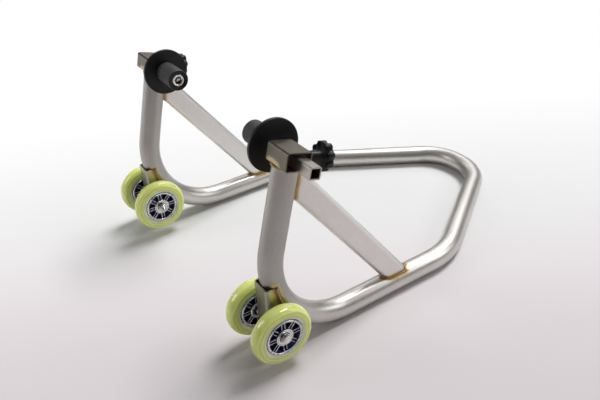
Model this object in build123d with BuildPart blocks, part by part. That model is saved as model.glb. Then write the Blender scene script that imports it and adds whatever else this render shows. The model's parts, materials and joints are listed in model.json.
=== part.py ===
from build123d import *
import math
import os

os.makedirs("parts", exist_ok=True)

# Paddock stand for a motorcycle's rear swingarm, standing on its bent tube with the handle towards +X.
# The origin is under the middle of the stand, on the floor. The left side is -Y; the right mirrors it.

# Bent frame tube
overall_length = 702.0
tube_diameter = 38.1
tube_wall = 2.0
side_spacing = 455.0
upright_lean = 15.3
upright_length = 309.5
heel_setback = 28.0
heel_bend_radius = 133.0
taper_length = 255.0
taper_bend_radius = 150.0
handle_width = 111.0
handle_bend_radius = 95.0

# Oval braces
brace_width = 40.0
brace_thickness = 20.0
brace_wall = 2.0
brace_top_drop = 12.5
brace_foot = 262.0

# Wheels
wheel_diameter = 100.0
wheel_width = 24.0
wheel_lift = 16.0
wheel_spacing = 77.0
tyre_crown_rise = 2.0
tyre_shoulder = 4.0
hub_diameter = 60.8
hub_width = 21.0
rim_thickness = 3.6
rim_rib_width = 8.0
rim_rib_height = 2.5
boss_diameter = 29.0
web_thickness = 3.0
spoke_pairs = 8
spoke_spread = 5.0
spoke_thickness = 1.3
spoke_width = 16.0

# Sealed ball bearings
bearing_bore = 8.0
bearing_diameter = 22.0
bearing_width = 7.0
bearing_ring = 2.0
bearing_shoulder = 2.0
seal_thickness = 0.8
seal_recess = 0.3
seal_gap = 0.3

# Wheel brackets and axles
bracket_width = 37.0
bracket_depth = 46.0
bracket_wall = 2.3
bracket_corner = 5.0
bracket_bottom = 45.0
bracket_height = 89.0
bracket_edge_distance = 8.0
axle_clearance = 0.2
spacer_diameter = 12.0
washer_diameter = 16.0
washer_thickness = 1.6
axle_hex_width = 13.0
axle_head_height = 5.3
axle_nut_height = 5.8
axle_collar_diameter = 11.6
axle_collar_height = 2.2
axle_tail = 2.5
hex_chamfer = 0.95

# Receivers on the uprights
receiver_width = 40.0
receiver_height = 28.0
receiver_wall = 1.8
receiver_corner = 4.0
receiver_length = 49.0
receiver_overhang = 32.0
receiver_shift = -2.0
slide_gap = 0.3
slide_travel = 8.0

# Swingarm adapters
bar_size = 18.0
bar_wall = 2.0
bar_corner = 2.5
bar_length = 89.5
boss_length = 12.0
end_boss_diameter = 21.0
disc_diameter = 81.0
disc_thickness = 6.0
disc_edge = 1.2
roller_diameter = 37.0
roller_length = 53.0
roller_gap = 261.0
roller_grooves = 11
roller_groove_depth = 0.8
roller_end_band = 5.0
roller_edge = 1.0
sleeve_diameter = 18.0
bolt_diameter = 14.0
bolt_length = 55.0
bolt_head_diameter = 21.0
bolt_head_height = 14.0
bolt_socket_width = 12.0
bolt_socket_depth = 7.0
bolt_head_recess = 0.5
bolt_head_gap = 0.6
end_gap = 0.4
fit_gap = 0.05

# Clamp screws
clamp_outset = 9.5
screw_diameter = 8.0
screw_gap = 0.5
screw_tail = 6.0
clamp_nut_width = 13.0
clamp_nut_height = 4.0
clamp_washer_diameter = 20.0
clamp_washer_thickness = 1.6
knob_neck_length = 28.5
knob_neck_diameter = 18.0
knob_diameter = 43.0
knob_thickness = 12.0
knob_lobes = 8
knob_scallop_radius = 7.0
knob_scallop_depth = 3.0
knob_lobe_edge = 2.0
knob_edge = 3.0
knob_socket_depth = 22.0

# Places worked out from the sizes above
tube_radius = tube_diameter / 2
side = side_spacing / 2
axle_x = (wheel_diameter - overall_length) / 2
axle_z = wheel_diameter / 2 + wheel_lift
handle_x = overall_length / 2 - tube_radius
heel_x = axle_x - heel_setback
taper_x = handle_x - taper_length
lean = math.radians(upright_lean)
top_x = heel_x + upright_length * math.sin(lean)
top_z = tube_radius + upright_length * math.cos(lean)

# The head plane lies on the left upright's axis at its cut end: x across, y up the tube, z outwards
head = Plane(origin=(top_x, -side, top_z), x_dir=(math.cos(lean), 0, -math.sin(lean)), z_dir=(0, -1, 0))
receiver_face = receiver_shift + receiver_width / 2
bar_x = receiver_face - receiver_wall - slide_gap - clamp_nut_height - bar_size / 2
bar_y = receiver_wall + slide_gap + bar_size / 2
roller_start = roller_gap / 2 - side
disc_start = roller_start + roller_length + end_gap
boss_start = disc_start + disc_thickness
bar_start = boss_start + boss_length
bolt_seat = roller_start + bolt_head_recess + bolt_head_height

# Stations along the wheel axle, outwards from the middle of the left side
wheel_middle = wheel_spacing / 2
bracket_face = bracket_width / 2
hub_inside = wheel_middle - hub_width / 2
hub_outside = wheel_middle + hub_width / 2
washer_outside = hub_outside + washer_thickness


def across_head(distance, x=bar_x, y=bar_y):
    """Plane square to the slide, at a distance outwards, by default on the bar's centre line."""
    return Plane(origin=head.from_local_coords((x, y, distance)), x_dir=head.x_dir, z_dir=head.z_dir)


def across_screw(distance):
    """Plane square to the clamp screw, on its axis, at a distance across the head."""
    return Plane(
        origin=head.from_local_coords((distance, bar_y, clamp_outset)), x_dir=head.z_dir, z_dir=head.x_dir
    )


def across_axle(distance):
    """Plane square to the left wheel axle, at a distance outwards from the side's middle."""
    return Plane(origin=(axle_x, -side - distance, axle_z), x_dir=(1, 0, 0), z_dir=(0, -1, 0))


def side_on(plane):
    """Plane through another one's origin whose y direction is that plane's normal."""
    return Plane(origin=plane.origin, x_dir=plane.x_dir, z_dir=plane.x_dir.cross(plane.z_dir))


def write(part, name):
    part.label = name
    export_step(part, f"parts/{name}.step")


def write_pair(part, name):
    """Writes the left piece and its mirror image on the right."""
    write(mirror(part, about=Plane.XZ), f"{name}_right")
    write(part, f"{name}_left")


# ---------------------------------------------------------------- bent frame tube
def frame_route(overrun=0.0):
    """Centre line: down one upright, round its heel, in to the handle, and back the same way."""
    end_x = top_x + overrun * math.sin(lean)
    end_z = top_z + overrun * math.cos(lean)
    half = [
        (end_x, side, end_z),
        (heel_x, side, tube_radius),
        (taper_x, side, tube_radius),
        (handle_x, handle_width / 2, tube_radius),
    ]
    mirrored = [(x, -y, z) for x, y, z in reversed(half)]
    radii = [heel_bend_radius, taper_bend_radius, handle_bend_radius]
    return FilletPolyline(*half, *mirrored, radius=radii + radii[::-1])


with BuildPart() as frame_tube:
    with BuildLine() as tube_line:
        frame_route()
    with BuildSketch(Plane(origin=tube_line.line @ 0, z_dir=tube_line.line % 0)):
        Circle(tube_radius)
        Circle(tube_radius - tube_wall, mode=Mode.SUBTRACT)
    sweep(path=tube_line.line)
write(frame_tube.part, "frame_tube")

# A solid copy of the tube, run past its ends, that shapes the pieces welded to it
with BuildPart() as tube_outside:
    with BuildLine() as outside_line:
        frame_route(overrun=tube_diameter)
    with BuildSketch(Plane(origin=outside_line.line @ 0, z_dir=outside_line.line % 0)):
        Circle(tube_radius)
    sweep(path=outside_line.line)

# ---------------------------------------------------------------- oval braces
brace_top = head.from_local_coords((0, -brace_top_drop, 0))
brace_base = Vector(axle_x + brace_foot, -side, tube_radius)
brace_run = brace_base - brace_top

with BuildPart() as brace:
    with BuildSketch(Plane(origin=brace_top, x_dir=brace_run.cross(Vector(0, 1, 0)), z_dir=brace_run)):
        SlotOverall(brace_width, brace_thickness)
        SlotOverall(brace_width - 2 * brace_wall, brace_thickness - 2 * brace_wall, mode=Mode.SUBTRACT)
    extrude(amount=brace_run.length)
    add(tube_outside.part, mode=Mode.SUBTRACT)
write_pair(brace.part, "brace")

# ---------------------------------------------------------------- wheel brackets
# Box section saddled on the outside of the heel bend and open at both ends
heel_turn = math.pi / 2 + lean
heel_tangent = heel_bend_radius * math.tan(heel_turn / 2)
heel_centre = (heel_x + heel_tangent, heel_bend_radius + tube_radius)
bracket_left = axle_x - bracket_edge_distance

with BuildPart() as wheel_bracket:
    with BuildSketch(Plane.XY.offset(bracket_bottom)):
        with Locations((bracket_left + bracket_depth / 2, -side)):
            RectangleRounded(bracket_depth, bracket_width, bracket_corner)
            RectangleRounded(
                bracket_depth - 2 * bracket_wall,
                bracket_width - 2 * bracket_wall,
                bracket_corner - bracket_wall,
                mode=Mode.SUBTRACT,
            )
    extrude(amount=bracket_height)
    add(tube_outside.part, mode=Mode.SUBTRACT)
    with BuildSketch(Plane.XZ.offset(side)):
        with Locations(heel_centre):
            Circle(heel_bend_radius)
    extrude(amount=tube_diameter, both=True, mode=Mode.SUBTRACT)
    with BuildSketch(across_axle(0)):
        Circle(bearing_bore / 2 + axle_clearance)
    extrude(amount=tube_diameter, both=True, mode=Mode.SUBTRACT)
write_pair(wheel_bracket.part, "wheel_bracket")


# ---------------------------------------------------------------- turned and hexagonal blanks
def ring(plane, outer, inner, length):
    """Plain ring standing on a plane."""
    with BuildPart() as piece:
        with BuildSketch(plane):
            Circle(outer / 2)
            Circle(inner / 2, mode=Mode.SUBTRACT)
        extrude(amount=length)
    return piece.part


def turned(plane, corners):
    """Solid turned about a plane's normal from corners given as (radius, distance)."""
    with BuildPart() as piece:
        with BuildSketch(side_on(plane)):
            with BuildLine():
                Polyline(*corners, close=True)
            make_face()
        revolve(axis=Axis(plane.origin, plane.z_dir))
    return piece.part


def hexagon(plane, width, height):
    """Hexagonal block standing on a plane, with its outer corners turned off at 30 degrees."""
    corner = width / math.sqrt(3)
    crown = hex_chamfer * width / 2
    slope = (corner - crown) * math.tan(math.radians(30))
    with BuildPart() as piece:
        with BuildSketch(plane):
            RegularPolygon(width / 2, 6, major_radius=False)
        extrude(amount=height)
        profile = [(0, 0), (corner, 0), (corner, height - slope), (crown, height), (0, height)]
        add(turned(plane, profile), mode=Mode.INTERSECT)
    return piece.part


# ---------------------------------------------------------------- wheel axles
axle_bore = bearing_bore + 2 * fit_gap
nut_height = axle_nut_height + axle_collar_height
axle_length = 2 * washer_outside + nut_height + axle_tail
bracket_spacer = hub_inside - bracket_face
hub_spacer = hub_width - 2 * bearing_width

with BuildPart() as axle_bolt:
    with BuildSketch(across_axle(washer_outside)):
        Circle(bearing_bore / 2)
    extrude(amount=-axle_length)
    add(hexagon(across_axle(washer_outside), axle_hex_width, axle_head_height))
write_pair(axle_bolt.part, "axle_bolt")

with BuildPart() as axle_nut:
    nut_seat = -across_axle(-washer_outside)
    add(hexagon(nut_seat, axle_hex_width, axle_nut_height))
    add(ring(nut_seat.offset(axle_nut_height), axle_collar_diameter, axle_bore, axle_collar_height))
    with BuildSketch(nut_seat):
        Circle(axle_bore / 2)
    extrude(amount=nut_height, mode=Mode.SUBTRACT)
write_pair(axle_nut.part, "axle_nut")

with BuildPart() as axle_washers:
    add(ring(across_axle(hub_outside), washer_diameter, axle_bore, washer_thickness))
    add(ring(across_axle(-washer_outside), washer_diameter, axle_bore, washer_thickness))
write_pair(axle_washers.part, "axle_washers")

with BuildPart() as axle_spacers:
    add(ring(across_axle(bracket_face), spacer_diameter, axle_bore, bracket_spacer))
    add(ring(across_axle(-hub_inside), spacer_diameter, axle_bore, bracket_spacer))
    for wheel_place in (wheel_middle, -wheel_middle):
        add(ring(across_axle(wheel_place - hub_spacer / 2), spacer_diameter, axle_bore, hub_spacer))
write_pair(axle_spacers.part, "axle_spacers")

# ---------------------------------------------------------------- bearings
# Each wheel has two, flush with the ends of its hub
inner_ring_diameter = bearing_bore + 2 * bearing_ring
outer_ring_bore = bearing_diameter - 2 * bearing_ring
bearing_starts = (-hub_width / 2, hub_width / 2 - bearing_width)
seal_starts = (seal_recess, bearing_width - seal_recess - seal_thickness)

with BuildPart() as bearing_inner_rings:
    for wheel_place in (wheel_middle, -wheel_middle):
        for start in bearing_starts:
            add(ring(across_axle(wheel_place + start), inner_ring_diameter, axle_bore, bearing_width))
write_pair(bearing_inner_rings.part, "bearing_inner_rings")


# ---------------------------------------------------------------- wheels
def make_wheel(middle, place):
    """Tyre, hub, bearing outer rings and seals of the wheel at a distance outwards."""
    centre = across_axle(middle)
    half_hub = hub_width / 2
    half_tyre = wheel_width / 2
    hub_radius = hub_diameter / 2
    rim_inside = hub_radius - rim_thickness
    spoke_start = (boss_diameter + bearing_diameter) / 4
    spoke_end = rim_inside + rim_thickness / 2

    with BuildPart() as tyre:
        with BuildSketch(side_on(centre)):
            with BuildLine():
                crown_start = (wheel_diameter / 2 - tyre_crown_rise, -half_tyre)
                crown_end = (wheel_diameter / 2 - tyre_crown_rise, half_tyre)
                ThreePointArc(crown_start, (wheel_diameter / 2, 0), crown_end)
                Polyline(crown_end, (hub_radius + fit_gap, half_tyre), (hub_radius + fit_gap, -half_tyre))
                Line((hub_radius + fit_gap, -half_tyre), crown_start)
            make_face()
            fillet(vertices().group_by(Axis.X)[1:], radius=tyre_shoulder)
            with Locations((hub_radius, 0)):
                Rectangle(
                    2 * (rim_rib_height + fit_gap), rim_rib_width + 2 * fit_gap, mode=Mode.SUBTRACT
                )
        revolve(axis=Axis(centre.origin, centre.z_dir))
    write_pair(tyre.part, f"tyre_{place}")

    with BuildPart() as hub:
        add(ring(across_axle(middle - half_hub), hub_diameter, 2 * rim_inside, hub_width))
        rib_diameter = hub_diameter + 2 * rim_rib_height
        add(ring(across_axle(middle - rim_rib_width / 2), rib_diameter, 2 * rim_inside, rim_rib_width))
        with BuildSketch(centre):
            Circle(boss_diameter / 2)
        extrude(amount=half_hub, both=True)
        with BuildSketch(centre):
            Circle(rim_inside + rim_thickness / 2)
        extrude(amount=web_thickness / 2, both=True)
        with BuildSketch(centre):
            with PolarLocations((spoke_start + spoke_end) / 2, spoke_pairs):
                with Locations((0, spoke_spread / 2), (0, -spoke_spread / 2)):
                    Rectangle(spoke_end - spoke_start, spoke_thickness)
        extrude(amount=spoke_width / 2, both=True)
        with BuildSketch(centre):
            Circle(bearing_diameter / 2 - bearing_shoulder)
        extrude(amount=half_hub, both=True, mode=Mode.SUBTRACT)
        for start in bearing_starts:
            with BuildSketch(across_axle(middle + start)):
                Circle(bearing_diameter / 2 + fit_gap)
            extrude(amount=bearing_width, mode=Mode.SUBTRACT)
    write_pair(hub.part, f"hub_{place}")

    with BuildPart() as outer_rings:
        for start in bearing_starts:
            add(ring(across_axle(middle + start), bearing_diameter, outer_ring_bore, bearing_width))
    write_pair(outer_rings.part, f"bearing_outer_rings_{place}")

    with BuildPart() as seals:
        for start in bearing_starts:
            for seal_start in seal_starts:
                seal_plane = across_axle(middle + start + seal_start)
                seal_outside = outer_ring_bore - 2 * fit_gap
                add(ring(seal_plane, seal_outside, inner_ring_diameter + 2 * seal_gap, seal_thickness))
    write_pair(seals.part, f"bearing_seals_{place}")


make_wheel(wheel_middle, "outboard")
make_wheel(-wheel_middle, "inboard")

# ---------------------------------------------------------------- receivers
receiver_plane = across_head(receiver_overhang, x=receiver_shift, y=receiver_height / 2)

with BuildPart() as receiver:
    with BuildSketch(receiver_plane):
        RectangleRounded(receiver_width, receiver_height, receiver_corner)
        RectangleRounded(
            receiver_width - 2 * receiver_wall,
            receiver_height - 2 * receiver_wall,
            receiver_corner - receiver_wall,
            mode=Mode.SUBTRACT,
        )
    extrude(amount=-receiver_length)
    with BuildSketch(across_screw(receiver_face)):
        SlotCenterToCenter(2 * slide_travel, screw_diameter + 2 * screw_gap)
    extrude(amount=-2 * receiver_wall, mode=Mode.SUBTRACT)
write_pair(receiver.part, "receiver")

# ---------------------------------------------------------------- adapter bars
bolt_bore = bolt_diameter + 2 * fit_gap

with BuildPart() as slide_bar:
    with BuildSketch(across_head(bar_start)):
        RectangleRounded(bar_size, bar_size, bar_corner)
        RectangleRounded(
            bar_size - 2 * bar_wall, bar_size - 2 * bar_wall, bar_corner - bar_wall, mode=Mode.SUBTRACT
        )
    extrude(amount=bar_length)
    with BuildSketch(across_screw(bar_x + bar_size / 2)):
        Circle(screw_diameter / 2 + screw_gap)
    extrude(amount=-2 * bar_wall, mode=Mode.SUBTRACT)
write_pair(slide_bar.part, "slide_bar")

write_pair(ring(across_head(boss_start), end_boss_diameter, bolt_bore, boss_length), "end_boss")

with BuildPart() as flange_disc:
    add(ring(across_head(disc_start), disc_diameter, bolt_bore, disc_thickness))
    fillet(edges().filter_by(GeomType.CIRCLE).group_by(SortBy.RADIUS)[-1], radius=disc_edge)
write_pair(flange_disc.part, "flange_disc")

# ---------------------------------------------------------------- rollers
roller_plane = across_head(roller_start)
roller_bore = sleeve_diameter + 2 * fit_gap
roller_pocket = bolt_head_diameter + 2 * bolt_head_gap
groove_pitch = (roller_length - 2 * roller_end_band) / (roller_grooves - 1)

with BuildPart() as roller:
    with BuildSketch(side_on(roller_plane)):
        with Locations((roller_diameter / 4, roller_length / 2)):
            Rectangle(roller_diameter / 2, roller_length)
        chamfer(vertices().group_by(Axis.X)[-1], length=roller_edge)
        with Locations((roller_diameter / 2, roller_length / 2)):
            with GridLocations(1, groove_pitch, 1, roller_grooves):
                RegularPolygon(roller_groove_depth, 4, mode=Mode.SUBTRACT)
        with Locations((0, 0)):
            Rectangle(roller_bore, 2 * roller_length, mode=Mode.SUBTRACT)
            pocket_depth = bolt_head_recess + bolt_head_height + end_gap
            Rectangle(roller_pocket, 2 * pocket_depth, mode=Mode.SUBTRACT)
    revolve(axis=Axis(roller_plane.origin, roller_plane.z_dir))
write_pair(roller.part, "roller")

write_pair(ring(across_head(bolt_seat), sleeve_diameter, bolt_bore, disc_start - bolt_seat), "roller_sleeve")

with BuildPart() as roller_bolt:
    with BuildSketch(across_head(bolt_seat)):
        Circle(bolt_head_diameter / 2)
    extrude(amount=-bolt_head_height)
    chamfer(edges().sort_by(Axis(head.origin, head.z_dir))[0], length=bolt_head_gap)
    with BuildSketch(across_head(bolt_seat)):
        Circle(bolt_diameter / 2)
    extrude(amount=bolt_length)
    with BuildSketch(across_head(bolt_seat - bolt_head_height)):
        RegularPolygon(bolt_socket_width / 2, 6, major_radius=False)
    extrude(amount=bolt_socket_depth, mode=Mode.SUBTRACT)
write_pair(roller_bolt.part, "roller_bolt")

# ---------------------------------------------------------------- clamp screws
# The square nut is welded on the side of the bar and pulls it against the receiver's wall
with BuildPart() as clamp_nut:
    with BuildSketch(across_screw(bar_x + bar_size / 2)):
        Rectangle(clamp_nut_width, clamp_nut_width)
        Circle(screw_diameter / 2 + fit_gap, mode=Mode.SUBTRACT)
    extrude(amount=clamp_nut_height)
write_pair(clamp_nut.part, "clamp_nut")

washer_place = receiver_face + slide_gap
washer_bore = screw_diameter + 2 * screw_gap
write_pair(
    ring(across_screw(washer_place), clamp_washer_diameter, washer_bore, clamp_washer_thickness),
    "clamp_washer",
)

knob_start = washer_place + clamp_washer_thickness + slide_gap
knob_head = knob_start + knob_neck_length
knob_radius = knob_diameter / 2

with BuildPart() as star_knob:
    with BuildSketch(across_screw(knob_head)):
        Circle(knob_radius)
        with PolarLocations(knob_radius + knob_scallop_radius - knob_scallop_depth, knob_lobes):
            Circle(knob_scallop_radius, mode=Mode.SUBTRACT)
        fillet(vertices(), radius=knob_lobe_edge)
    extrude(amount=knob_thickness)
    fillet(faces().sort_by(Axis(head.origin, head.x_dir))[-1].edges(), radius=knob_edge)
    with BuildSketch(across_screw(knob_start)):
        Circle(knob_neck_diameter / 2)
    extrude(amount=knob_neck_length)
    with BuildSketch(across_screw(knob_start)):
        Circle(screw_diameter / 2 + fit_gap)
    extrude(amount=knob_socket_depth, mode=Mode.SUBTRACT)
write_pair(star_knob.part, "star_knob")

with BuildPart() as knob_stud:
    stud_end = bar_x + bar_size / 2 - screw_tail
    with BuildSketch(across_screw(stud_end)):
        Circle(screw_diameter / 2)
    extrude(amount=knob_start + knob_socket_depth - stud_end)
write_pair(knob_stud.part, "knob_stud")
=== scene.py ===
import bpy, bmesh, json, math
from mathutils import Matrix, Vector


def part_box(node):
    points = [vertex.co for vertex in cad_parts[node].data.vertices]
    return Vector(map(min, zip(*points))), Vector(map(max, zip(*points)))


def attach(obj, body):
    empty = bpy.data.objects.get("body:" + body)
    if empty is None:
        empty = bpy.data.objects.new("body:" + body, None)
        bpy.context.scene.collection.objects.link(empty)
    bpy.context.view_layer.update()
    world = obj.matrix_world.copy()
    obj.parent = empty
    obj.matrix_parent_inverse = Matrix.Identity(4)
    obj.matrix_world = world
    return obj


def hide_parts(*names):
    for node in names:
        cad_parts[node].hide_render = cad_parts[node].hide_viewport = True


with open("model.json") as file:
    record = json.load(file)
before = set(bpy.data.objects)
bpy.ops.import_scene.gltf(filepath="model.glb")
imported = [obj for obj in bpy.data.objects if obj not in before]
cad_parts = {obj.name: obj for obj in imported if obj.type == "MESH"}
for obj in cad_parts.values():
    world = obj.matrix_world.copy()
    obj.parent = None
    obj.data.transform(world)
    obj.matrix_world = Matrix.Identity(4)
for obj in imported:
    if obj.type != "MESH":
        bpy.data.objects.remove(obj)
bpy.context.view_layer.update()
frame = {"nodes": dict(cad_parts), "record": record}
nodes = frame["nodes"]
scene = bpy.context.scene

# ------------------------------------------------------------------ studio
# A pale floor that runs into white behind the stand, lit by a distant soft key high at the
# back right and weaker softboxes round it. The camera looks down from the near left.
camera_data = bpy.data.cameras.new("camera")
camera_data.sensor_width = 36
camera_data.lens = 38.88
camera_data.shift_x = -0.0281
camera_data.shift_y = -0.0057
camera_data.clip_start = 0.05
camera = bpy.data.objects.new("camera", camera_data)
scene.collection.objects.link(camera)
camera_right = Vector((0.82198, -0.56745, -0.04837))
camera_up = Vector((0.33341, 0.41062, 0.84866))
camera_back = Vector((-0.46171, -0.71371, 0.52672))
camera_axes = Matrix((camera_right, camera_up, camera_back)).transposed()
camera.matrix_world = Matrix.Translation((-0.63238, -0.89557, 0.73926)) @ camera_axes.to_4x4()
scene.camera = camera
scene.view_settings.view_transform = "Standard"


def new_material(name):
    """A material, its Principled shader and its node tree."""
    material = bpy.data.materials.new(name)
    material.use_nodes = True
    return material, material.node_tree.nodes["Principled BSDF"], material.node_tree


def add_object(name, data):
    """An object at the origin that holds a mesh, curve or light."""
    piece = bpy.data.objects.new(name, data)
    scene.collection.objects.link(piece)
    return piece


# The floor reaches so far that its edge lies at the horizon
floor_reach = 80
floor_mesh = bpy.data.meshes.new("floor")
sheet = bmesh.new()
bmesh.ops.create_grid(sheet, x_segments=1, y_segments=1, size=floor_reach)
sheet.to_mesh(floor_mesh)
sheet.free()
add_object("floor", floor_mesh)


def maths(tree, operation, *sources):
    """A Math node fed by numbers and sockets, and its result."""
    node = tree.nodes.new("ShaderNodeMath")
    node.operation = operation
    for socket, source in zip(node.inputs, sources):
        if isinstance(source, (int, float)):
            socket.default_value = source
        else:
            tree.links.new(source, socket)
    return node.outputs[0]


def vectors(tree, operation, *sources):
    """A Vector Math node fed by vectors and sockets, and its result."""
    node = tree.nodes.new("ShaderNodeVectorMath")
    node.operation = operation
    for socket, source in zip(node.inputs, sources):
        if isinstance(source, bpy.types.NodeSocket):
            tree.links.new(source, socket)
        else:
            socket.default_value = source
    return node.outputs["Value" if operation in ("DOT_PRODUCT", "LENGTH") else "Vector"]


def ramp(tree, factor, stops, interpolation="LINEAR"):
    """A Color Ramp node over a factor, from a list of (position, colour), and its colour."""
    node = tree.nodes.new("ShaderNodeValToRGB")
    node.color_ramp.interpolation = interpolation
    tree.links.new(factor, node.inputs["Fac"])
    while len(node.color_ramp.elements) < len(stops):
        node.color_ramp.elements.new(1.0)
    for stop, (at, colour) in zip(node.color_ramp.elements, stops):
        stop.position = at
        stop.color = (*colour, 1)
    return node.outputs["Color"]


# The floor pales from light mauve grey in front of the stand to white far behind it
floor_paint, floor_shader, floor_tree = new_material("floor paint")
floor_away = Vector((0.543, 0.840, 0))
floor_place = floor_tree.nodes.new("ShaderNodeTexCoord").outputs["Object"]
floor_depth = vectors(floor_tree, "DOT_PRODUCT", floor_place, floor_away)
floor_near, floor_far = -0.5, 1.1
floor_share = maths(floor_tree, "SUBTRACT", floor_depth, floor_near)
floor_share = maths(floor_tree, "DIVIDE", floor_share, floor_far - floor_near)
floor_stops = [
    (0.00, (0.579, 0.542, 0.554)),
    (0.17, (0.662, 0.622, 0.636)),
    (0.25, (0.694, 0.669, 0.677)),
    (0.33, (0.715, 0.715, 0.715)),
    (0.56, (0.796, 0.796, 0.796)),
    (0.80, (0.885, 0.885, 0.885)),
]
floor_tree.links.new(ramp(floor_tree, floor_share, floor_stops), floor_shader.inputs["Base Color"])
floor_shader.inputs["Roughness"].default_value = 0.9
floor_shader.inputs["Specular IOR Level"].default_value = 0.2

# Far behind the stand it turns into a white backdrop for the rays that show it, and lights nothing
backdrop_start, backdrop_end = 0.45, 1.05
floor_glow = floor_tree.nodes.new("ShaderNodeEmission")
floor_mix = floor_tree.nodes.new("ShaderNodeMixShader")
ray = floor_tree.nodes.new("ShaderNodeLightPath").outputs
seen = maths(floor_tree, "MAXIMUM", ray["Is Camera Ray"], ray["Is Glossy Ray"])
seen = maths(floor_tree, "MAXIMUM", seen, ray["Is Transmission Ray"])
backdrop = floor_tree.nodes.new("ShaderNodeMapRange")
backdrop.interpolation_type = "SMOOTHSTEP"
backdrop.inputs["From Min"].default_value = backdrop_start
backdrop.inputs["From Max"].default_value = backdrop_end
floor_tree.links.new(floor_depth, backdrop.inputs["Value"])
backdrop_share = maths(floor_tree, "MULTIPLY", seen, backdrop.outputs["Result"])
floor_tree.links.new(backdrop_share, floor_mix.inputs["Fac"])
floor_tree.links.new(floor_shader.outputs["BSDF"], floor_mix.inputs[1])
floor_tree.links.new(floor_glow.outputs["Emission"], floor_mix.inputs[2])
floor_surface = floor_tree.nodes["Material Output"].inputs["Surface"]
floor_tree.links.new(floor_mix.outputs["Shader"], floor_surface)
floor_mesh.materials.append(floor_paint)

# The room is dim at eye level and brightens overhead, with a pale band where the floor ends
horizon_pale = (0.85, 0.85, 0.85)
world = bpy.data.worlds.new("studio")
world.use_nodes = True
scene.world = world
sky_direction = world.node_tree.nodes.new("ShaderNodeTexCoord").outputs["Generated"]
sky_height = vectors(world.node_tree, "DOT_PRODUCT", sky_direction, (0, 0, 1))
sky = ramp(world.node_tree, sky_height, [
    (0.00, horizon_pale), (0.04, horizon_pale), (0.055, (0.07, 0.07, 0.075)),
    (0.50, (0.13, 0.13, 0.13)), (1.00, (0.26, 0.26, 0.26)),
])
world.node_tree.links.new(sky, world.node_tree.nodes["Background"].inputs["Color"])


def softbox(name, place, aim, width, height, power):
    """A rectangular area light at a place, turned towards what it aims at."""
    lamp = bpy.data.lights.new(name, "AREA")
    lamp.shape = "RECTANGLE"
    lamp.size = width
    lamp.size_y = height
    lamp.energy = power
    lamp_object = add_object(name, lamp)
    lamp_object.location = place
    lamp_object.rotation_euler = (Vector(aim) - Vector(place)).to_track_quat("-Z", "Y").to_euler()


key = bpy.data.lights.new("key light", "SUN")
key.energy = 2.75
key.angle = math.radians(24)
key_travel = Vector((-0.54, -0.10, -1))
key_object = add_object("key light", key)
key_object.rotation_euler = key_travel.to_track_quat("-Z", "Y").to_euler()
softbox("back softbox", (0.75, 1.25, 1.0), (0, 0, 0.05), 2.0, 0.45, 5)
softbox("front softbox", (1.15, -1.1, 0.95), (0, 0, 0.05), 0.7, 0.7, 5)
softbox("left softbox", (-1.5, 0.8, 0.9), (-0.2, 0, 0.15), 0.6, 0.9, 6)


# ------------------------------------------------------------------ welded frame
# One bent round tube, two flat-oval braces, two receivers and two axle brackets, all bare
# metal with a fine satin blasting. Each joint is TIG welded, and the heat has left straw,
# brown and violet bands beside the beads.
tube_radius = 0.01905
side_y = 0.2275
lean = math.radians(15.3)
upright_axis = Vector((math.sin(lean), 0, math.cos(lean)))
upright_side = Vector((math.cos(lean), 0, -math.sin(lean)))
upright_length = 0.3095
upright_foot = Vector((-0.329, side_y, tube_radius))
upright_top = upright_foot + upright_length * upright_axis
heel_radius = 0.133
heel_reach = heel_radius * math.tan((math.pi / 2 + lean) / 2)
heel_centre = Vector((upright_foot.x + heel_reach, side_y, heel_radius + tube_radius))
brace_top_drop = 0.0125
brace_foot = Vector((-0.039, side_y, tube_radius))
brace_head = upright_top - brace_top_drop * upright_axis
brace_axis = (brace_head - brace_foot).normalized()
brace_across = brace_axis.cross(Vector((0, 1, 0)))
brace_flat = 0.010
brace_round = 0.010
bracket_low, bracket_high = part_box("wheel_bracket_right")
bracket_middle = (bracket_low + bracket_high) / 2
bracket_half = (bracket_high - bracket_low) / 2


def new_group(name, inputs, outputs):
    """An empty shader group with these sockets, and its input and output nodes."""
    group = bpy.data.node_groups.new(name, "ShaderNodeTree")
    for socket_name, kind in inputs:
        group.interface.new_socket(socket_name, in_out="INPUT", socket_type="NodeSocket" + kind)
    for socket_name, kind in outputs:
        group.interface.new_socket(socket_name, in_out="OUTPUT", socket_type="NodeSocket" + kind)
    entry = group.nodes.new("NodeGroupInput")
    leaving = group.nodes.new("NodeGroupOutput")
    return group, entry.outputs, leaving.inputs


def place_group(tree, group, **values):
    """A group in a material, with its inputs set from numbers, colours and sockets."""
    node = tree.nodes.new("ShaderNodeGroup")
    node.node_tree = group
    for name, source in values.items():
        socket = node.inputs[name.replace("_", " ").capitalize()]
        if isinstance(source, bpy.types.NodeSocket):
            tree.links.new(source, socket)
        else:
            socket.default_value = source
    return node.outputs


def diagonal(tree, first, second):
    """The diagonal of two lengths at a right angle to each other."""
    squares = [maths(tree, "MULTIPLY", length, length) for length in (first, second)]
    return maths(tree, "SQRT", maths(tree, "ADD", *squares))


def noise(tree, place, scale, detail):
    """A Noise Texture over a position, and its factor."""
    node = tree.nodes.new("ShaderNodeTexNoise")
    node.inputs["Scale"].default_value = scale
    node.inputs["Detail"].default_value = detail
    tree.links.new(place, node.inputs["Vector"])
    return node.outputs["Fac"]


def mix_colours(tree, factor, first, second, blend="MIX"):
    """A Mix node from one colour to another, and its colour."""
    node = tree.nodes.new("ShaderNodeMix")
    node.data_type = "RGBA"
    node.blend_type = blend
    if isinstance(factor, (int, float)):
        node.inputs["Factor"].default_value = factor
    else:
        tree.links.new(factor, node.inputs["Factor"])
    tree.links.new(first, node.inputs["A"])
    tree.links.new(second, node.inputs["B"])
    return node.outputs["Result"]


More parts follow.
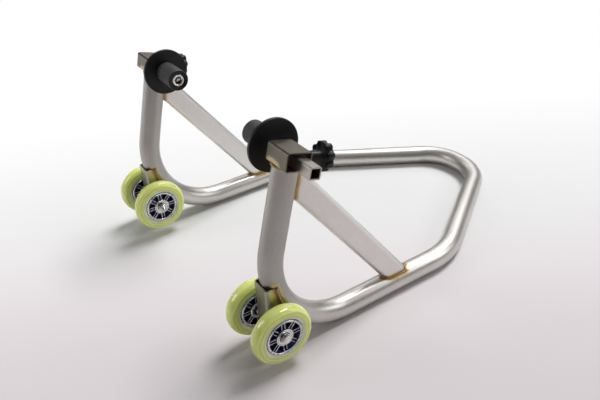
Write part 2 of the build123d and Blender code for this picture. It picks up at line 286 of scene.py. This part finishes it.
def add_bump(tree, shader, height, strength, distance):
    """Relief on a material, from a height."""
    node = tree.nodes.new("ShaderNodeBump")
    node.inputs["Strength"].default_value = strength
    node.inputs["Distance"].default_value = distance
    tree.links.new(height, node.inputs["Height"])
    tree.links.new(node.outputs["Normal"], shader.inputs["Normal"])


# Both sides of the stand read the same bands, so positions are folded onto the right side
folded, given, result = new_group(
    "folded position", [("Position", "Vector")], [("Position", "Vector")],
)
fold_split = folded.nodes.new("ShaderNodeSeparateXYZ")
fold_join = folded.nodes.new("ShaderNodeCombineXYZ")
folded.links.new(given["Position"], fold_split.inputs[0])
folded.links.new(fold_split.outputs["X"], fold_join.inputs["X"])
folded.links.new(maths(folded, "ABSOLUTE", fold_split.outputs["Y"]), fold_join.inputs["Y"])
folded.links.new(fold_split.outputs["Z"], fold_join.inputs["Z"])
folded.links.new(fold_join.outputs[0], result["Position"])

# How far a point lies from the outside of a long round tube
round_gap, given, result = new_group(
    "gap to round tube",
    [("Position", "Vector"), ("Point", "Vector"), ("Direction", "Vector"), ("Radius", "Float")],
    [("Gap", "Float")],
)
arm = vectors(round_gap, "SUBTRACT", given["Position"], given["Point"])
arm = vectors(round_gap, "LENGTH", vectors(round_gap, "CROSS_PRODUCT", arm, given["Direction"]))
arm = maths(round_gap, "SUBTRACT", arm, given["Radius"])
round_gap.links.new(maths(round_gap, "ABSOLUTE", arm), result["Gap"])

# How far a point lies from a ring round a tube
ring_gap, given, result = new_group(
    "gap to ring",
    [("Position", "Vector"), ("Centre", "Vector"), ("Direction", "Vector"), ("Radius", "Float")],
    [("Gap", "Float")],
)
arm = vectors(ring_gap, "SUBTRACT", given["Position"], given["Centre"])
along = vectors(ring_gap, "DOT_PRODUCT", arm, given["Direction"])
outwards = vectors(ring_gap, "LENGTH", vectors(ring_gap, "CROSS_PRODUCT", arm, given["Direction"]))
outwards = maths(ring_gap, "SUBTRACT", outwards, given["Radius"])
ring_gap.links.new(diagonal(ring_gap, along, outwards), result["Gap"])

# How far a point of a tube lies from the outside of a brace, on the side that faces the brace
# and no further from the brace's seat than the weld reaches
weld_reach = 0.05
oval_gap, given, result = new_group(
    "gap to brace",
    [("Position", "Vector"), ("Point", "Vector"), ("Across", "Vector"),
     ("Seat", "Vector"), ("Facing", "Vector")],
    [("Gap", "Float")],
)
from_seat = vectors(oval_gap, "SUBTRACT", given["Position"], given["Seat"])
facing = vectors(oval_gap, "DOT_PRODUCT", from_seat, given["Facing"])
seat_depth = math.sqrt(tube_radius ** 2 - brace_round ** 2)
past_end = maths(oval_gap, "SUBTRACT", seat_depth, facing)
too_far = maths(oval_gap, "SUBTRACT", vectors(oval_gap, "LENGTH", from_seat), weld_reach)
past_end = maths(oval_gap, "MAXIMUM", past_end, too_far)
arm = vectors(oval_gap, "SUBTRACT", given["Position"], given["Point"])
wide = maths(oval_gap, "ABSOLUTE", vectors(oval_gap, "DOT_PRODUCT", arm, given["Across"]))
wide = maths(oval_gap, "MAXIMUM", maths(oval_gap, "SUBTRACT", wide, brace_flat), 0.0)
thick = vectors(oval_gap, "DOT_PRODUCT", arm, (0, 1, 0))
beside = maths(oval_gap, "SUBTRACT", diagonal(oval_gap, wide, thick), brace_round)
beside = maths(oval_gap, "ABSOLUTE", beside)
oval_gap.links.new(maths(oval_gap, "MAXIMUM", beside, past_end), result["Gap"])

# How far a point lies from the weld along a bracket's side, which follows the heel bend
heel_gap, given, result = new_group(
    "gap to bracket weld",
    [("Position", "Vector"), ("Centre", "Vector"), ("Radius", "Float"), ("Aside", "Float"),
     ("Box middle", "Vector"), ("Box half", "Vector")],
    [("Gap", "Float")],
)
arm = vectors(heel_gap, "SUBTRACT", given["Position"], given["Centre"])
in_plane = vectors(heel_gap, "LENGTH", vectors(heel_gap, "MULTIPLY", arm, (1, 0, 1)))
in_plane = maths(heel_gap, "SUBTRACT", in_plane, given["Radius"])
sideways = maths(heel_gap, "ABSOLUTE", vectors(heel_gap, "DOT_PRODUCT", arm, (0, 1, 0)))
sideways = maths(heel_gap, "SUBTRACT", sideways, given["Aside"])
from_weld = diagonal(heel_gap, in_plane, sideways)
outside = vectors(heel_gap, "SUBTRACT", given["Position"], given["Box middle"])
outside = vectors(heel_gap, "ABSOLUTE", outside)
outside = vectors(heel_gap, "SUBTRACT", outside, given["Box half"])
box_split = heel_gap.nodes.new("ShaderNodeSeparateXYZ")
heel_gap.links.new(outside, box_split.inputs[0])
outside = maths(heel_gap, "MAXIMUM", box_split.outputs["X"], box_split.outputs["Z"])
heel_gap.links.new(maths(heel_gap, "MAXIMUM", from_weld, outside), result["Gap"])

# Heat bands beside a weld: dark grey at the bead, then brown, gold and straw to bare metal
heat_tint, given, result = new_group(
    "heat tint",
    [("Position", "Vector"), ("Gap", "Float"), ("Reach", "Float"), ("Bare", "Color"),
     ("Violet", "Float")],
    [("Colour", "Color")],
)
flicker = noise(heat_tint, given["Position"], 90, 3)
uneven = maths(heat_tint, "MULTIPLY_ADD", flicker, 0.7, 0.65)
travel = maths(heat_tint, "DIVIDE", given["Gap"], maths(heat_tint, "MULTIPLY", given["Reach"], uneven))
gold_bands = ramp(heat_tint, travel, [
    (0.00, (0.20, 0.15, 0.11)), (0.20, (0.26, 0.17, 0.09)), (0.38, (0.42, 0.28, 0.11)),
    (0.60, (0.56, 0.45, 0.24)), (0.85, (0.60, 0.55, 0.42)),
])
violet_bands = ramp(heat_tint, travel, [
    (0.00, (0.17, 0.13, 0.13)), (0.18, (0.18, 0.12, 0.19)), (0.34, (0.32, 0.15, 0.12)),
    (0.52, (0.56, 0.32, 0.11)), (0.72, (0.64, 0.50, 0.20)), (0.90, (0.60, 0.54, 0.38)),
])
bands = mix_colours(heat_tint, given["Violet"], gold_bands, violet_bands)
fade = heat_tint.nodes.new("ShaderNodeMapRange")
fade.interpolation_type = "SMOOTHSTEP"
fade.inputs["From Min"].default_value = 0.45
fade.inputs["From Max"].default_value = 1.1
fade.inputs["To Min"].default_value = 1
fade.inputs["To Max"].default_value = 0
heat_tint.links.new(travel, fade.inputs["Value"])
tinted = mix_colours(heat_tint, fade.outputs["Result"], given["Bare"], bands)
heat_tint.links.new(tinted, result["Colour"])

# Satin blasting: cloudy colour and roughness with a fine grain, drawn out along the streak scale
satin, given, result = new_group(
    "satin blasting",
    [("Position", "Vector"), ("Streak", "Vector"), ("Light", "Color"), ("Dark", "Color")],
    [("Colour", "Color"), ("Roughness", "Float"), ("Height", "Float")],
)
clouds = noise(satin, given["Position"], 16, 4)
drawn_out = vectors(satin, "MULTIPLY", given["Position"], given["Streak"])
streaks = noise(satin, drawn_out, 1, 4)
blend_share = maths(satin, "MULTIPLY_ADD", streaks, 0.7, -0.1)
blend_share = maths(satin, "MULTIPLY_ADD", clouds, 0.6, blend_share)
blasted = mix_colours(satin, blend_share, given["Dark"], given["Light"])
satin.links.new(blasted, result["Colour"])
satin.links.new(maths(satin, "MULTIPLY_ADD", streaks, 0.16, 0.30), result["Roughness"])
satin.links.new(streaks, result["Height"])


# The height that the painted shade on the tube's uprights is laid out over
painted_shade_height = 0.4


def frame_metal(name, streak, light, dark, reach, violet, gaps, painted_shade=1.0):
    """Bare satin metal, tinted near welds, and painted darker above the base as a painted shade where
    the shade factor is under 1.
    """
    material, shader, tree = new_material(name)
    place = tree.nodes.new("ShaderNodeTexCoord").outputs["Object"]
    side_place = place_group(tree, folded, position=place)["Position"]
    finish = place_group(
        tree, satin, position=place, streak=streak, light=(*light, 1), dark=(*dark, 1),
    )
    colour = finish["Colour"]
    # Painted shade: the colour darkens with height, standing for the dark room the uprights reflect
    if painted_shade < 1:
        height_split = tree.nodes.new("ShaderNodeSeparateXYZ")
        tree.links.new(place, height_split.inputs[0])
        height_share = maths(tree, "DIVIDE", height_split.outputs["Z"], painted_shade_height)
        shade = ramp(tree, height_share, [(0.09, (1, 1, 1)), (0.33, (painted_shade, painted_shade, painted_shade))], "EASE")
        colour = mix_colours(tree, 1, colour, shade, "MULTIPLY")
    if gaps:
        least = None
        for group, values in gaps:
            gap = place_group(tree, group, position=side_place, **values)["Gap"]
            least = gap if least is None else maths(tree, "MINIMUM", least, gap)
        tint = place_group(
            tree, heat_tint, position=place, gap=least, reach=reach, bare=colour, violet=violet,
        )
        colour = tint["Colour"]
    tree.links.new(colour, shader.inputs["Base Color"])
    tree.links.new(finish["Roughness"], shader.inputs["Roughness"])
    add_bump(tree, shader, finish["Height"], 0.10, 0.0003)
    shader.inputs["Metallic"].default_value = 1
    return material


to_upright = (round_gap, {"point": upright_top, "direction": upright_axis, "radius": tube_radius})
to_base = (round_gap, {"point": brace_foot, "direction": (1, 0, 0), "radius": tube_radius})
to_brace_foot = (oval_gap, {
    "point": brace_foot, "across": brace_across, "seat": brace_foot, "facing": (0, 0, 1),
})
to_brace_head = (oval_gap, {
    "point": brace_foot, "across": brace_across, "seat": brace_head, "facing": upright_side,
})
to_receiver_ring = (ring_gap, {
    "centre": upright_top, "direction": upright_axis, "radius": tube_radius,
})
bracket_weld_radius = heel_radius + math.sqrt(tube_radius ** 2 - bracket_half.y ** 2)
to_bracket_weld = (heel_gap, {
    "centre": heel_centre, "radius": bracket_weld_radius, "aside": bracket_half.y,
    "box_middle": bracket_middle, "box_half": bracket_half,
})

tube_light = (0.74, 0.715, 0.685)
tube_dark = (0.52, 0.50, 0.475)
# The brackets and slide bars take a darker copy of the tube's metal
darker_metal_light = (0.50, 0.475, 0.43)
darker_metal_dark = (0.33, 0.31, 0.27)
# The braces take a lighter copy of the tube's metal, a painted reflection of the bright floor that
# their flat sides mirror
brace_reflection_light = (0.80, 0.78, 0.76)
brace_reflection_dark = (0.66, 0.64, 0.62)
olive_light = (0.19, 0.172, 0.135)
olive_dark = (0.10, 0.088, 0.066)
metals = {
    # The tube's uprights take a painted shade, down to 0.62 of the base's tone
    "frame_tube": frame_metal(
        "frame tube metal", (240, 240, 240), tube_light, tube_dark, 0.0075, 0.2,
        [to_brace_foot, to_brace_head, to_bracket_weld, to_receiver_ring], painted_shade=0.62,
    ),
    "brace": frame_metal(
        "brace metal", (150, 500, 110), brace_reflection_light, brace_reflection_dark, 0.009, 0.2, [to_upright, to_base],
    ),
    "receiver": frame_metal(
        "receiver metal", (500, 120, 500), olive_light, olive_dark, 0.011, 0.1, [to_receiver_ring],
    ),
    "wheel_bracket": frame_metal(
        "bracket metal", (400, 400, 120), darker_metal_light, darker_metal_dark, 0.015, 0.35, [to_bracket_weld],
    ),
    "slide_bar": frame_metal(
        "slide bar metal", (500, 110, 500), darker_metal_light, darker_metal_dark, 0.001, 0.0, [],
    ),
}
scale_light = (0.60, 0.41, 0.39)
scale_dark = (0.30, 0.19, 0.19)
box_inside = frame_metal(
    "mill scale inside box sections", (300, 60, 300), scale_light, scale_dark, 0.001, 0, [],
)


def smooth_copy(node_name, body, materials, sharp_degrees=35):
    """A merged, smooth-shaded copy of a CAD node's own surface, shown in the node's place."""
    mesh = bpy.data.meshes.new(node_name + "_surface")
    shape = bmesh.new()
    shape.from_mesh(nodes[node_name].data)
    bmesh.ops.remove_doubles(shape, verts=shape.verts, dist=1e-6)
    shape.to_mesh(mesh)
    shape.free()
    mesh.shade_smooth()
    mesh.set_sharp_from_angle(angle=math.radians(sharp_degrees))
    mesh.materials.clear()
    for material in materials:
        mesh.materials.append(material)
    mesh.polygons.foreach_set("material_index", [0] * len(mesh.polygons))
    piece = add_object(node_name + "_surface", mesh)
    flats = piece.modifiers.new("flat faces stay flat", "WEIGHTED_NORMAL")
    flats.keep_sharp = True
    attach(piece, body)
    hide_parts(node_name)
    return piece


def paint_inside(piece, middle, axis):
    """The second material on faces that look back at a hollow's centre line."""
    for face in piece.data.polygons:
        arm = Vector(face.center) - middle
        arm -= arm.dot(axis) * axis
        if arm.length > 1e-6 and face.normal.dot(arm.normalized()) < -0.3:
            face.material_index = 1


smooth_copy("frame_tube", "frame", [metals["frame_tube"]])
for side in ("left", "right"):
    smooth_copy(f"brace_{side}", "frame", [metals["brace"]])
    for part_name, body, axis in (
        ("receiver", "frame", Vector((0, 1, 0))),
        ("slide_bar", f"adapter_{side}", Vector((0, 1, 0))),
        ("wheel_bracket", "frame", Vector((0, 0, 1))),
    ):
        low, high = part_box(f"{part_name}_{side}")
        piece = smooth_copy(f"{part_name}_{side}", body, [metals[part_name], box_inside])
        paint_inside(piece, (low + high) / 2, axis)

# ------------------------------------------------------------------ weld beads
# TIG beads run round each brace end, along both sides of each bracket and under each
# receiver, as low rippled rows of small overlapping puddles left unground.
bead_light = (0.50, 0.42, 0.30)
bead_dark = (0.24, 0.17, 0.11)
bead_metal = frame_metal(
    "weld bead metal", (900, 900, 900), bead_light, bead_dark, 0.001, 0, [],
)
bead_radius = 0.0019
ripple_pitch = 0.0016
ripple_height = 0.16


def weld_bead(name, points, closed):
    """A rippled bead along points given on the right side, and its mirror image on the left."""
    for side, sign in (("left", -1), ("right", 1)):
        path = bpy.data.curves.new(f"{name}_{side}", "CURVE")
        path.dimensions = "3D"
        path.bevel_depth = bead_radius
        path.bevel_resolution = 2
        path.use_fill_caps = True
        line = path.splines.new("POLY")
        line.points.add(len(points) - 1)
        for index, (spot, point) in enumerate(zip(line.points, points)):
            spot.co = (point.x, sign * point.y, point.z, 1)
            spot.radius = 1.0 + ripple_height * math.cos(math.tau * index / 4)
        line.use_cyclic_u = closed
        guide = add_object(f"{name}_{side}_path", path)
        guide_now = guide.evaluated_get(bpy.context.evaluated_depsgraph_get())
        bead_mesh = bpy.data.meshes.new_from_object(guide_now)
        bpy.data.objects.remove(guide)
        bead_mesh.shade_smooth()
        bead_mesh.materials.clear()
        bead_mesh.materials.append(bead_metal)
        bead = add_object(f"{name}_{side}", bead_mesh)
        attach(bead, "frame")


def steps_for(length):
    """Points needed for four to a ripple along a length."""
    return 4 * round(length / ripple_pitch)


# The ring stays below the upright's cut end, clear of what slides over it
bead_clearance = 0.0002
bead_drop = bead_radius * (1 + ripple_height) + bead_clearance
ring_steps = steps_for(math.tau * tube_radius)
ring_points = [
    upright_top - bead_drop * upright_axis
    + tube_radius * (math.cos(turn) * upright_side + math.sin(turn) * Vector((0, 1, 0)))
    for turn in (math.tau * index / ring_steps for index in range(ring_steps))
]
weld_bead("receiver_weld", ring_points, True)


def brace_outline(share):
    """A point of the oval section as (across, thickness), for a share of its way round."""
    straight = 2 * brace_flat
    bend = math.pi * brace_round
    travelled = share * 2 * (straight + bend)
    flip = 1
    if travelled >= straight + bend:
        travelled -= straight + bend
        flip = -1
    if travelled < straight:
        return flip * (travelled - brace_flat), -flip * brace_round
    turn = (travelled - straight) / brace_round - math.pi / 2
    return flip * (brace_flat + brace_round * math.cos(turn)), flip * brace_round * math.sin(turn)


def brace_weld(name, end, outwards):
    """The bead where the brace's outside meets a tube whose axis passes through its end."""
    steps = steps_for(4 * brace_flat + math.tau * brace_round)
    points = []
    for index in range(steps):
        wide, thick = brace_outline(index / steps)
        corner = end + wide * brace_across + thick * Vector((0, 1, 0))
        stand_off = math.sqrt(tube_radius ** 2 - thick ** 2)
        reach = (stand_off - (corner - end).dot(outwards)) / brace_axis.dot(outwards)
        points.append(corner + reach * brace_axis)
    weld_bead(name, points, True)


brace_weld("brace_foot_weld", brace_foot, Vector((0, 0, 1)))
brace_weld("brace_head_weld", brace_head, upright_side)

bracket_start = math.asin((heel_centre.z - bracket_high.z) / bracket_weld_radius)
bracket_stop = math.acos((heel_centre.x - bracket_high.x) / bracket_weld_radius)
arc_steps = steps_for(bracket_weld_radius * abs(bracket_stop - bracket_start))
for face_name, face_y in (("outer", bracket_half.y), ("inner", -bracket_half.y)):
    arc_points = []
    for index in range(arc_steps + 1):
        turn = bracket_start + (bracket_stop - bracket_start) * index / arc_steps
        arc_points.append(heel_centre + Vector((
            -bracket_weld_radius * math.cos(turn), face_y, -bracket_weld_radius * math.sin(turn),
        )))
    weld_bead(f"bracket_{face_name}_weld", arc_points, False)

# ------------------------------------------------------------------ wheels
# Scooter-type wheels: a clear yellow-green polyurethane tyre cast on a dark blue alloy core
# whose ring, boss and paired ribs are turned bright on both faces.
low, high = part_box("tyre_outboard_left")
axle_line = ((low.x + high.x) / 2, 0, (low.z + high.z) / 2)

# How far a point lies from the axle, which all four wheels share in side view
axle_reach, given, result = new_group(
    "distance from axle", [("Position", "Vector")], [("Distance", "Float")],
)
arm = vectors(axle_reach, "SUBTRACT", given["Position"], axle_line)
arm = vectors(axle_reach, "LENGTH", vectors(axle_reach, "MULTIPLY", arm, (1, 0, 1)))
axle_reach.links.new(arm, result["Distance"])

# Cast tyre: milky where it is thin over the core, deeper green in its thick middle, with
# lighter rings over its outer part and shoulders that are painted highlights of its gloss,
# and moulded rings that its gloss picks out
polyurethane, shader, tree = new_material("clear yellow green polyurethane")
place = tree.nodes.new("ShaderNodeTexCoord").outputs["Object"]
tyre_reach = place_group(tree, axle_reach, position=place)["Distance"]
tyre_inside, tyre_outside = 0.030, 0.050
swirl = noise(tree, place, 60, 3)
tyre_share = maths(tree, "SUBTRACT", tyre_reach, tyre_inside)
tyre_share = maths(tree, "DIVIDE", tyre_share, tyre_outside - tyre_inside)
tyre_share = maths(tree, "SUBTRACT", tyre_share, 0.15)
tyre_share = maths(tree, "MULTIPLY_ADD", swirl, 0.3, tyre_share)
# Painted highlights: the lighter stops at 0.48 and 0.76 stand for the gloss on the tyre's outer part
# and shoulders
tyre_tone_and_highlights = ramp(tree, tyre_share, [
    (0.00, (0.86, 0.91, 0.76)), (0.20, (0.82, 0.88, 0.56)), (0.34, (0.66, 0.77, 0.22)),
    (0.48, (0.78, 0.86, 0.32)), (0.62, (0.62, 0.73, 0.15)), (0.76, (0.84, 0.91, 0.38)),
    (0.90, (0.70, 0.81, 0.20)), (1.00, (0.80, 0.87, 0.30)),
], "EASE")
tree.links.new(tyre_tone_and_highlights, shader.inputs["Base Color"])
tyre_rings = ramp(tree, tyre_share, [
    (0.00, (0.5, 0.5, 0.5)), (0.22, (0.2, 0.2, 0.2)), (0.32, (0.9, 0.9, 0.9)),
    (0.44, (0.3, 0.3, 0.3)), (0.62, (0.75, 0.75, 0.75)), (0.78, (0.35, 0.35, 0.35)),
    (1.00, (0.5, 0.5, 0.5)),
], "EASE")
add_bump(tree, shader, tyre_rings, 0.55, 0.0016)
tree.links.new(maths(tree, "MULTIPLY_ADD", swirl, 0.14, 0.06), shader.inputs["Roughness"])
shader.inputs["IOR"].default_value = 1.5
shader.inputs["Transmission Weight"].default_value = 0.05
shader.inputs["Subsurface Weight"].default_value = 0.75
shader.inputs["Subsurface Radius"].default_value = (0.022, 0.024, 0.009)
shader.inputs["Subsurface Scale"].default_value = 1.0
shader.inputs["Coat Weight"].default_value = 0.5
shader.inputs["Coat Roughness"].default_value = 0.06


turning_marks = 6000


def hub_alloy(name, light, dark, roughness):
    """Turned alloy with fine rings about the axle and a cloudy tone."""
    material, shader, tree = new_material(name)
    place = tree.nodes.new("ShaderNodeTexCoord").outputs["Object"]
    reach = place_group(tree, axle_reach, position=place)["Distance"]
    clouds = noise(tree, place, 120, 3)
    rings = maths(tree, "SINE", maths(tree, "MULTIPLY", reach, turning_marks))
    tone = maths(tree, "MULTIPLY_ADD", rings, 0.05, clouds)
    tree.links.new(ramp(tree, tone, [(0.30, dark), (0.70, light)]), shader.inputs["Base Color"])
    tree.links.new(maths(tree, "MULTIPLY_ADD", tone, 0.2, roughness), shader.inputs["Roughness"])
    add_bump(tree, shader, rings, 0.04, 0.0001)
    shader.inputs["Metallic"].default_value = 1
    return material


bright_alloy = hub_alloy("turned bright alloy", (0.93, 0.94, 0.97), (0.76, 0.77, 0.82), 0.18)
blue_alloy = hub_alloy("dark blue anodised alloy", (0.10, 0.11, 0.26), (0.03, 0.035, 0.10), 0.26)

# Half of a tyre's section, as (distance from the axle, distance from its middle) in millimetres
tyre_half_section = [
    (30.45, 0), (30.45, 10.8), (33.6, 10.9), (34.6, 11.8), (37.0, 12.0),
    (44.0, 11.7), (47.6, 9.4), (49.4, 5.4), (49.98, 0),
]
bright_depth = 0.0075

for side, sign in (("left", -1), ("right", 1)):
    for row in ("outboard", "inboard"):
        low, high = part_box(f"tyre_{row}_{side}")
        middle = (low + high) / 2
        shape = bmesh.new()
        section = tyre_half_section + [(r, -z) for r, z in reversed(tyre_half_section[1:-1])]
        corners = [shape.verts.new((r / 1000, z / 1000, 0)) for r, z in section]
        edges = [shape.edges.new(pair) for pair in zip(corners, corners[1:] + corners[:1])]
        bmesh.ops.spin(
            shape, geom=corners + edges, cent=(0, 0, 0), axis=(0, 1, 0),
            angle=math.tau, steps=72, use_merge=True,
        )
        bmesh.ops.remove_doubles(shape, verts=shape.verts, dist=1e-6)
        bmesh.ops.recalc_face_normals(shape, faces=shape.faces)
        bmesh.ops.translate(shape, verts=shape.verts, vec=middle)
        tyre_mesh = bpy.data.meshes.new(f"tyre_{row}_{side}_cast")
        shape.to_mesh(tyre_mesh)
        shape.free()
        tyre_mesh.shade_smooth()
        tyre_mesh.materials.append(polyurethane)
        tyre = add_object(f"tyre_{row}_{side}_cast", tyre_mesh)
        rounding = tyre.modifiers.new("rounding", "SUBSURF")
        rounding.levels = 2
        rounding.render_levels = 2
        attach(tyre, f"wheel_{row}_{side}")
        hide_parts(f"tyre_{row}_{side}")

        alloys = [blue_alloy, bright_alloy]
        hub = smooth_copy(f"hub_{row}_{side}", f"wheel_{row}_{side}", alloys)
        for face in hub.data.polygons:
            depth = abs(face.center.y - middle.y)
            if abs(face.normal.y) > 0.9 and depth > bright_depth:
                face.material_index = 1

# ------------------------------------------------------------------ fittings
# Ribbed rubber rollers, moulded black discs, star knobs and bearing seals, with bright
# zinc-plated screws, nuts, washers and bearing rings. Each roller is held by a cap screw
# whose hexagon socket is painted near black, a painted shade for its depth.
low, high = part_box("roller_left")
roller_line = ((low.x + high.x) / 2, 0, (low.z + high.z) / 2)
roller_radius = (high.x - low.x) / 2
rib_root = roller_radius - 0.0007
rib_height = 0.0006


def moulded_black(name, light, dark, roughness, grain, depth, ribbed=False):
    """Black plastic or rubber with a moulded grain, and paler rib crests where it is ribbed."""
    material, shader, tree = new_material(name)
    place = tree.nodes.new("ShaderNodeTexCoord").outputs["Object"]
    patches = noise(tree, place, 38, 4)
    pits = noise(tree, place, grain, 2)
    black_tone = patches
    if ribbed:
        arm = vectors(tree, "SUBTRACT", place, roller_line)
        arm = vectors(tree, "LENGTH", vectors(tree, "MULTIPLY", arm, (1, 0, 1)))
        crest = maths(tree, "DIVIDE", maths(tree, "SUBTRACT", arm, rib_root), rib_height)
        black_tone = maths(tree, "MULTIPLY_ADD", patches, 0.25, crest)
    tree.links.new(ramp(tree, black_tone, [(0.35, dark), (0.75, light)]), shader.inputs["Base Color"])
    shader.inputs["Specular IOR Level"].default_value = 0.28
    rough = maths(tree, "MULTIPLY_ADD", patches, 0.16, roughness - 0.08)
    tree.links.new(rough, shader.inputs["Roughness"])
    add_bump(tree, shader, pits, depth, 0.0003)
    return material


def plated_steel(name, light, dark, roughness):
    """Zinc plated steel: bright, faintly spangled and a little uneven in its shine."""
    material, shader, tree = new_material(name)
    place = tree.nodes.new("ShaderNodeTexCoord").outputs["Object"]
    spangle = tree.nodes.new("ShaderNodeTexVoronoi")
    spangle.inputs["Scale"].default_value = 260
    tree.links.new(place, spangle.inputs["Vector"])
    haze = maths(tree, "MULTIPLY", noise(tree, place, 90, 3), 0.8)
    tone = maths(tree, "MULTIPLY_ADD", spangle.outputs["Distance"], 0.25, haze)
    tree.links.new(ramp(tree, tone, [(0.28, dark), (0.62, light)]), shader.inputs["Base Color"])
    tree.links.new(maths(tree, "MULTIPLY_ADD", tone, 0.25, roughness), shader.inputs["Roughness"])
    shader.inputs["Metallic"].default_value = 1
    return material


finishes = {
    "black_plastic": moulded_black(
        "satin black moulded plastic", (0.012, 0.011, 0.011), (0.005, 0.0045, 0.005),
        0.36, 900, 0.15,
    ),
    "roller_rubber": moulded_black(
        "ribbed black rubber", (0.055, 0.055, 0.055), (0.006, 0.006, 0.006),
        0.5, 700, 0.3, ribbed=True,
    ),
    "seals": moulded_black(
        "black bearing seal", (0.020, 0.020, 0.020), (0.010, 0.010, 0.010),
        0.45, 900, 0.15,
    ),
}
# Painted shade: near black steel for the inside of the screw sockets, where shade falls
socket_shade_steel = plated_steel("steel painted dark as socket shade", (0.05, 0.05, 0.05), (0.02, 0.02, 0.02), 0.4)
zinc_steel = plated_steel(
    "bright zinc plated steel", (0.80, 0.79, 0.77), (0.50, 0.49, 0.47), 0.10,
)

# Every node that no section above has replaced
slot_names = {row["node"]: row["material_slot"] for row in frame["record"]["subparts"]}
for body, members in frame["record"]["behaviour"]["bodies"].items():
    for name in members:
        if nodes[name].hide_render:
            continue
        slot_name = slot_names[name]
        finish = finishes.get(slot_name, zinc_steel)
        if name.startswith("roller_bolt"):
            low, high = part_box(name)
            # The socket's inside faces take the painted shade
            piece = smooth_copy(name, body, [finish, socket_shade_steel])
            paint_inside(piece, (low + high) / 2, Vector((0, 1, 0)))
        else:
            smooth_copy(name, body, [finish])
